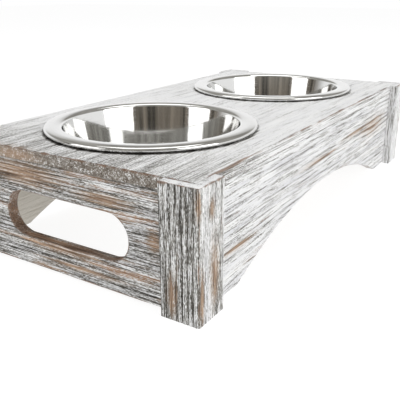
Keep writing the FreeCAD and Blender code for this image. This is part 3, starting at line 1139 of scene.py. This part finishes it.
@dataclass
class SideApron(Board):
    """Long side of the stand, with an arch cut from its lower edge."""

    arch_span: float = 351 * MM
    arch_rise: float = 37 * MM
    drum_steps: int = 512

    def arch(self) -> tuple[Vector, float]:
        """Work out the circle of the arch from its span and rise.

        Returns:
            Centre and radius, in metres.
        """
        low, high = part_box(self.node)
        radius = (self.arch_span ** 2 / 4 + self.arch_rise ** 2) / (2 * self.arch_rise)
        return Vector((0, (low.y + high.y) / 2, low.z + self.arch_rise - radius)), radius

    def cutters(self) -> list[Piece]:
        """Wide drum whose top is the arch.

        Returns:
            The one cutter.
        """
        low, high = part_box(self.node)
        centre, radius = self.arch()
        return [round_cutter(centre, radius, high.y - low.y, 1, self.drum_steps, self.ease)]

    def edge_distance(self, tree: Tree, millimetres: Socket) -> Socket:
        """Add the distance to the edge of the arch.

        Args:
            tree: Tree to add to.
            millimetres: Place on the stand.

        Returns:
            Socket with the distance in millimetres.
        """
        centre, radius = self.arch()
        middle = add_node(tree, VECTOR, [millimetres, centre / MM], operation="SUBTRACT")
        flat = add_node(tree, VECTOR, [middle, (1, 0, 1)], operation="MULTIPLY")
        away = add_node(tree, VECTOR, [flat], out=1, operation="LENGTH")
        return add_node(tree, MATH, [away, radius / MM], operation="SUBTRACT")


@dataclass
class CornerPost(Board):
    """L-shaped post round one corner of the box, rounded on its outer upright edge."""

    leg: float = 8 * MM
    rounding: float = 2 * MM
    rounding_steps: int = 4
    eased_angle: float = 40

    def inward(self) -> Vector:
        """A post lies wholly outside, so it has no inner face."""
        return Vector((0, 0, 0))

    def outward(self) -> tuple[int, int]:
        """Signs of the corner that the post stands on.

        Returns:
            -1 or 1 along the stand, and -1 or 1 across it.
        """
        middle = sum(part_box(self.node), Vector())
        return (1 if middle.x > 0 else -1, 1 if middle.y > 0 else -1)

    def corner(self) -> Vector:
        """Upper end of the outer upright edge.

        Returns:
            Place on the stand, in metres.
        """
        low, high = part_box(self.node)
        end, side = self.outward()
        return Vector((high.x if end > 0 else low.x, high.y if side > 0 else low.y, high.z))

    def blank(self) -> Piece:
        """One leg as a block, and the other drawn out of its end.

        Returns:
            The blank of the post.
        """
        low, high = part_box(self.node)
        end, side = self.outward()
        leg_low, leg_high = low.copy(), high.copy()
        if side < 0:
            leg_high.y = low.y + self.leg
        else:
            leg_low.y = high.y - self.leg
        piece = start_block(f"{self.node}_brushed", leg_low, leg_high)
        seam = high.x - self.leg if end > 0 else low.x + self.leg
        open_piece(piece)
        bpy.ops.mesh.select_all(action="SELECT")
        bpy.ops.mesh.bisect(plane_co=(seam, 0, 0), plane_no=(1, 0, 0))
        pick(piece, "faces", lambda face: (
            face.normal.y * side < -0.9 and (face.calc_center_median().x - seam) * end > 0
        ))
        draw = (high.y - low.y - self.leg) * -side
        bpy.ops.mesh.extrude_region_move(TRANSFORM_OT_translate={"value": (0, draw, 0)})
        bpy.ops.mesh.select_all(action="SELECT")
        bpy.ops.mesh.remove_doubles(threshold=CLOSE)
        # The joint between the legs leaves flat faces side by side, which are joined
        bpy.ops.mesh.dissolve_limited(angle_limit=math.radians(1))
        close_piece()
        return piece

    def edge_distance(self, tree: Tree, millimetres: Socket) -> Socket:
        """Add the distance to the outer upright edge or the outer rim of the top.

        Args:
            tree: Tree to add to.
            millimetres: Place on the stand.

        Returns:
            Socket with the distance in millimetres.
        """
        away = add_node(tree, VECTOR, [millimetres, self.corner() / MM], operation="SUBTRACT")
        folded = add_node(tree, VECTOR, [away], operation="ABSOLUTE")
        first, second, below = add_node(tree, SPLIT, [folded]).node.outputs
        upright = add_node(tree, MATH, [first, second], operation="MAXIMUM")
        nearer = add_node(tree, MATH, [first, second], operation="MINIMUM")
        rim = add_node(tree, MATH, [below, nearer], operation="MAXIMUM")
        return add_node(tree, MATH, [upright, rim], operation="MINIMUM")

    def round_edges(self, piece: Piece) -> None:
        """Round the outer upright edge and ease the others.

        Args:
            piece: The blank.
        """
        corner = self.corner().to_2d()

        def on_corner(edge: bmesh.types.BMEdge) -> bool:
            """Whether an edge is the outer upright one."""
            return all((vert.co.to_2d() - corner).length < 0.01 * MM for vert in edge.verts)

        open_piece(piece)
        pick(piece, "edges", on_corner)
        bpy.ops.mesh.bevel(offset=self.rounding, segments=self.rounding_steps, affect="EDGES")
        least = math.radians(self.eased_angle)
        pick(piece, "edges", lambda edge: edge.calc_face_angle_signed(0) > least)
        bpy.ops.mesh.bevel(offset=self.ease, segments=2, affect="EDGES")
        close_piece()


@dataclass
class PressedBowl:
    """Bowl pressed from one sheet: flat bottom, sloping wall, domed flange and a rim curled under."""

    node: str
    body: str
    rim_radius: float = 94 * MM
    curl_radius: float = 2.35 * MM
    flange_radius: float = 81 * MM
    mouth_bend: float = 3 * MM
    depth: float = 54 * MM
    flange_crown: float = 0.4 * MM
    base_radius: float = 52 * MM
    base_bend: float = 20 * MM
    sheet: float = 0.6 * MM
    spin_steps: int = 192
    base_rings: Pair = (0.35, 0.7)
    bend_steps: tuple[int, int, int, int] = (18, 10, 10, 16)
    sharp_angle: float = 40

    def skin(self, top: float, grow: float) -> list[Vector]:
        """Half profile of one face of the sheet, from the axis to the end of the curl.

        Args:
            top: Level of the crown of the flange.
            grow: How far the face lies outside the inner one.

        Returns:
            Points of radius and height.
        """
        half_flange = (self.rim_radius - self.curl_radius - self.flange_radius) / 2
        lean = 2 * math.atan(self.flange_crown / half_flange)
        bead = (2 * self.curl_radius - self.flange_crown) / (1 + math.cos(lean))
        # Ends of the domed flange, where the mouth and the bead take over with the same lean
        inner = self.flange_radius - self.mouth_bend * math.sin(lean)
        outer = self.rim_radius - bead + bead * math.sin(lean)
        dome = (outer - inner) / 2 / math.sin(lean)
        level = top - dome * (1 - math.cos(lean))
        base = Vector((self.base_radius, top - self.depth + self.base_bend))
        mouth = Vector((self.flange_radius, level - self.mouth_bend * math.cos(lean)))
        flange = Vector(((inner + outer) / 2, top - dome))
        curl = Vector((self.rim_radius - bead, level - bead * math.cos(lean)))
        run = mouth - base
        # The wall touches both bends, the base on its outside and the mouth on its inside
        slope = math.atan2(run.y, run.x) + math.asin((self.base_bend + self.mouth_bend) / run.length)
        upright = math.pi / 2
        points = [Vector((0, base.y - self.base_bend - grow))]
        for share in self.base_rings:
            points.append(Vector((self.base_radius * share, base.y - self.base_bend - grow)))
        bends = (
            (base, self.base_bend + grow, -upright, slope - upright),
            (mouth, self.mouth_bend - grow, slope + upright, upright + lean),
            (flange, dome - grow, upright + lean, upright - lean),
            (curl, bead - grow, upright - lean, -math.pi),
        )
        for (centre, radius, start, end), steps in zip(bends, self.bend_steps):
            for step in range(steps + 1):
                angle = start + (end - start) * step / steps
                points.append(centre + radius * Vector((math.cos(angle), math.sin(angle))))
        return points

    def build(self, finish: PolishedStainless) -> Piece:
        """Spin the profile into a bowl and dress it.

        Args:
            finish: Finish of the steel.

        Returns:
            The finished piece, riding on its own body.
        """
        low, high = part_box(self.node)
        axis = Vector(((low.x + high.x) / 2, (low.y + high.y) / 2, 0))
        profile = self.skin(high.z, 0.0) + self.skin(high.z, self.sheet)[::-1]
        bpy.ops.object.select_all(action="DESELECT")
        bpy.ops.mesh.primitive_plane_add(size=MM, location=axis + Vector((0, 0, profile[0].y)))
        piece = settle(f"{self.node}_pressed")
        open_piece(piece)
        bpy.ops.mesh.select_mode(type="VERT")
        bpy.ops.mesh.select_all(action="SELECT")
        bpy.ops.mesh.merge(type="CENTER")
        for here, there in zip(profile, profile[1:]):
            step = (there.x - here.x, 0, there.y - here.y)
            bpy.ops.mesh.extrude_region_move(TRANSFORM_OT_translate={"value": step})
        bpy.ops.mesh.select_all(action="SELECT")
        bpy.ops.mesh.spin(steps=self.spin_steps, angle=2 * math.pi, center=axis, axis=(0, 0, 1))
        bpy.ops.mesh.select_all(action="SELECT")
        bpy.ops.mesh.remove_doubles(threshold=CLOSE)
        bpy.ops.mesh.normals_make_consistent(inside=False)
        close_piece()
        smooth(piece, self.sharp_angle)
        piece.data.materials.clear()
        piece.data.materials.append(finish.dress(f"polished_stainless_{self.node}", axis))
        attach(piece, self.body)
        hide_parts(self.node)
        LOG.info("%s: %d faces", piece.name, len(piece.data.polygons))
        return piece


@dataclass
class HiddenFixings:
    """Battens and screws under the top, whose CAD shapes stay and get their materials here."""

    cleats: tuple[str, ...] = ("top_cleat_front", "top_cleat_back")
    screws: tuple[str, ...] = ("corner_screws", "cleat_side_screws", "cleat_top_screws")

    def dress(self, nodes: dict[str, Piece]) -> None:
        """Give the CAD nodes their finishes.

        Args:
            nodes: CAD nodes by name.
        """
        pine = PlanedPine()
        for place, cleat in enumerate(self.cleats):
            low, high = [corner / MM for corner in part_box(cleat)]
            grain = Grain(
                GrainAxis.LENGTHWISE, pith=(low.y - 20, high.z + 35), ring_pitch=2.6, ring_drift=3.0,
                seed=60.0 + 9 * place,
            )
            self.coat(nodes[cleat], pine.dress(f"planed_pine_{cleat}", grain))
        zinc = ZincPlate().dress("zinc_plate")
        for screw in self.screws:
            self.coat(nodes[screw], zinc)

    def coat(self, node: Piece, material: Material) -> None:
        """Put a material on a CAD node in place of its plain one.

        Args:
            node: The CAD node.
            material: Its finish.
        """
        for slot in node.material_slots:
            slot.material = material
        if not node.material_slots:
            node.data.materials.append(material)
        LOG.info("%s: %s", node.name, material.name)


# Studio


class Softbox(NamedTuple):
    """Soft lamp: its place, its width and height, and how bright its face is."""

    name: str
    place: Point
    size: Pair
    radiance: float


@dataclass
class Studio:
    """Pale floor, soft lamps, white surroundings and the camera."""

    aim: Point = (0.0, 0.0, 0.05)
    camera_place: Point = (-0.5229, -0.3066, 0.2154)
    camera_look: Point = (0.7909, 0.5042, -0.3467)
    camera_roll: float = -0.22
    lens: float = 51.71
    sensor: float = 36
    ambient: float = 0.5
    floor_side: float = 12.0
    floor_drop: float = 0.3 * MM
    paper: str = "#f4f4f4"
    paper_glow: float = 1.13
    glow_share: float = 0.78
    room_dark: str = "#3f3c37"
    room_light: str = "#8c8377"
    room_way: Point = (-0.99, -0.1, 0.0)
    room_range: Pair = (-0.15, 0.45)
    ceiling_dark: str = "#7f7d78"
    ceiling_light: str = "#b6b4ae"
    ceiling_range: Pair = (0.2, 0.4)
    streaks: Point = (9, 9, 0.6)
    streak_range: Pair = (0.35, 0.65)
    softboxes: tuple[Softbox, ...] = (
        Softbox("key_softbox", (-0.25, -2.1, 0.85), (1.7, 1.4), 2.4),
        Softbox("fill_softbox", (-1.75, 1.15, 0.8), (1.3, 1.3), 1.8),
        Softbox("overhead_softbox", (0.3, 0.3, 2.2), (1.6, 1.6), 2.25),
    )

    def place_camera(self) -> None:
        """Put the camera where the photograph was taken from."""
        data = bpy.data.cameras.new("photo_camera")
        data.lens = self.lens
        data.sensor_width = self.sensor
        camera = bpy.data.objects.new("photo_camera", data)
        bpy.context.scene.collection.objects.link(camera)
        camera.location = self.camera_place
        look = Vector(self.camera_look).to_track_quat("-Z", "Y")
        roll = Quaternion((0, 0, 1), math.radians(self.camera_roll))
        camera.rotation_mode = "QUATERNION"
        camera.rotation_quaternion = look @ roll
        bpy.context.scene.camera = camera

    def lay_floor(self) -> None:
        """White paper floor that keeps a faint shadow; it is clear from below."""
        bpy.ops.object.select_all(action="DESELECT")
        bpy.ops.mesh.primitive_plane_add(size=self.floor_side, location=(0, 0, -self.floor_drop))
        floor = settle("paper_floor")
        material = new_material("white_paper")
        tree = material.node_tree
        paper = add_node(tree, "ShaderNodeBsdfDiffuse", {"Color": linear(self.paper)})
        glow = add_node(tree, "ShaderNodeEmission", {"Color": (1, 1, 1, 1), "Strength": self.paper_glow})
        mixed = add_node(tree, "ShaderNodeMixShader", [self.glow_share, paper, glow])
        below = add_node(tree, "ShaderNodeNewGeometry", out="Backfacing")
        clear = add_node(tree, "ShaderNodeBsdfTransparent")
        surface = add_node(tree, "ShaderNodeMixShader", [below, mixed, clear])
        add_node(tree, OUTPUT, {"Surface": surface})
        floor.data.materials.append(material)

    def hang_lamps(self) -> None:
        """Set up the softboxes, all turned to the stand."""
        for box in self.softboxes:
            data = bpy.data.lights.new(box.name, "AREA")
            data.shape = "RECTANGLE"
            data.size, data.size_y = box.size
            data.energy = box.radiance * math.pi * box.size[0] * box.size[1]
            lamp = bpy.data.objects.new(box.name, data)
            bpy.context.scene.collection.objects.link(lamp)
            lamp.location = box.place
            look = Vector(self.aim) - Vector(box.place)
            lamp.rotation_mode = "QUATERNION"
            lamp.rotation_quaternion = look.to_track_quat("-Z", "Y")

    def light_surroundings(self) -> None:
        """White all round for the camera, with a dim room behind it for the steel to mirror."""
        world = bpy.data.worlds.new("studio")
        world.use_nodes = True
        tree = world.node_tree
        tree.nodes.clear()
        path = add_node(tree, "ShaderNodeLightPath", out="Is Camera Ray").node
        way = add_node(tree, COORDINATES, out="Generated")
        behind = add_node(tree, VECTOR, [way, self.room_way], out=1, operation="DOT_PRODUCT")
        dim = add_node(tree, RANGE, [behind, *self.room_range], **SOFT)
        height = add_node(tree, SPLIT, [way], out=2)
        overhead = add_node(tree, RANGE, [height, *self.ceiling_range], **SOFT)
        # The room behind the camera: dark, with upright streaks
        tall = add_node(tree, VECTOR, [way, self.streaks], operation="MULTIPLY")
        streaks = add_node(tree, NOISE, {"Vector": tall, "Scale": 1.0, "Detail": 2.0})
        streaked = add_node(tree, RANGE, [streaks, *self.streak_range])
        room = add_node(tree, MIX, {
            0: streaked, 6: linear(self.room_dark), 7: linear(self.room_light),
        }, **COLOURS)
        backdrop = add_node(tree, MIX, {0: dim, 6: (1, 1, 1, 1), 7: room}, **COLOURS)
        ceiling = add_node(tree, MIX, {
            0: streaked, 6: linear(self.ceiling_dark), 7: linear(self.ceiling_light),
        }, **COLOURS)
        mirrored = add_node(tree, MIX, {0: overhead, 6: backdrop, 7: ceiling}, **COLOURS)
        reflected = add_node(tree, MATH, [
            path.outputs["Is Glossy Ray"], path.outputs["Is Transmission Ray"],
        ], operation="MAXIMUM")
        level = (self.ambient, self.ambient, self.ambient, 1)
        lit = add_node(tree, MIX, {0: reflected, 6: level, 7: mirrored}, **COLOURS)
        shown = add_node(tree, MIX, {
            0: path.outputs["Is Camera Ray"], 6: lit, 7: (1, 1, 1, 1),
        }, **COLOURS)
        light = add_node(tree, "ShaderNodeBackground", {"Color": shown, "Strength": 1.0})
        add_node(tree, "ShaderNodeOutputWorld", {"Surface": light})
        bpy.context.scene.world = world

    def build(self) -> None:
        """Set up everything round the stand."""
        bpy.context.scene.view_settings.view_transform = "Standard"
        self.place_camera()
        self.lay_floor()
        self.hang_lamps()
        self.light_surroundings()


def stand_boards() -> list[Board]:
    """All boards of the stand, each with its own grain and wear.

    Returns:
        The boards, in the order in which they are made.
    """
    along, across, upright = GrainAxis.LENGTHWISE, GrainAxis.CROSSWISE, GrainAxis.UPRIGHT
    top_wash = Wash(
        coverage=1.13, end_coverage=0.4, cut_coverage=0.18, side_loss=0.36, ring_contrast=0.2,
        tint=0.2, bare_share=0.1, edge_wear=0.65, raw_ends=0.15, fibre_length=45,
        rubbed_end=RubbedEnd(-236, -110, 0.66),
        spots=(WornSpot((-236, 48, 94), (12, 42, 9)),),
        # Dark rings of painted shade round the bowl holes, for the shadow under the rims
        rings=tuple(RimShadowRing((end * 121, 0, 100), 92.5, 3) for end in (-1, 1)),
    )
    panel_wash = Wash(
        coverage=0.23, end_coverage=0.23, cut_coverage=0.28, ring_contrast=0.3,
        tint=0.4, bare_share=0.75, edge_wear=0.7, raw_ends=0.4, fibre_length=28,
        spots=(
            WornSpot((-236, 44, 80), (12, 70, 14)),
            WornSpot((-236, -40, 74), (12, 40, 7)),
            WornSpot((-236, -86, 52), (12, 9, 14)),
            WornSpot((-236, 8, 23), (12, 64, 6)),
            WornSpot((-236, -14, 11), (12, 58, 4)),
        ),
    )
    apron_wash = Wash(
        coverage=0.79, end_coverage=0.5, cut_coverage=0.4, ring_contrast=0.4,
        tint=0.4, bare_share=0.4, edge_wear=0.2, raw_ends=0.2, fibre_length=24,
        rubbed_end=RubbedEnd(-211, -195, 0.3),
        spots=(
            WornSpot((-176, -120, 34), (40, 5, 5)),
            WornSpot((-20, -120, 62), (60, 5, 4)),
            WornSpot((90, -120, 66), (60, 5, 5)),
            WornSpot((150, -120, 62), (65, 5, 16)),
        ),
    )
    post_wash = Wash(
        coverage=0.7, end_coverage=0.17, cut_coverage=0.85, ring_contrast=0.45,
        tint=0.25, bare_share=0.2, edge_wear=0.75, raw_ends=0.0, fibre_length=18,
        spots=(
            WornSpot((-225, -128, 36), (9, 6, 40)),
            WornSpot((-228, -128, 82), (6, 5, 12)),
            WornSpot((-240, -128, 20), (4, 5, 34)),
            WornSpot((-244, -128, 88), (5, 5, 16)),
            WornSpot((-244, -106, 20), (5, 6, 22)),
        ),
    )
    boards: list[Board] = [
        kind(node, Grain(axis, pith, ring_pitch, ring_drift, seed), wash)
        for kind, node, axis, pith, ring_pitch, ring_drift, seed, wash in (
            (TopBoard, "top_board", along, (-30, -60), 6.5, 6.0, 1.0, top_wash),
            (EndPanel, "end_panel_left", across, (-260, -225), 3.4, 5.0, 11.0, panel_wash),
            (EndPanel, "end_panel_right", across, (-240, 225), 3.6, 5.0, 23.0, panel_wash),
            (SideApron, "side_apron_front", along, (-100, -190), 5.2, 6.0, 37.0, apron_wash),
            (SideApron, "side_apron_back", along, (100, -170), 5.0, 6.0, 48.0, apron_wash),
        )
    ]
    for place, (end, side) in enumerate(((-1, -1), (1, -1), (-1, 1), (1, 1))):
        node = f"corner_post_{'front' if side < 0 else 'back'}_{'left' if end < 0 else 'right'}"
        grain = Grain(
            upright, pith=(end * 228, side * 70), ring_pitch=4.2, ring_drift=2.5, seed=76.0 + 13 * place
        )
        boards.append(CornerPost(node, grain, post_wash, ease=0.5 * MM, cell_across=0.7 * MM))
    return boards


def main() -> None:
    """Build the stand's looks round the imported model, piece by piece."""
    logging.basicConfig(level=logging.INFO, format="%(name)s: %(message)s")
    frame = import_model()
    Studio().build()
    wood = WashedPine()
    for board in stand_boards():
        board.build(wood)
    steel = PolishedStainless()
    for node, body in (("bowl_left", "left_bowl"), ("bowl_right", "right_bowl")):
        PressedBowl(node, body).build(steel)
    HiddenFixings().dress(frame["nodes"])


if __name__ == "__main__":
    main()
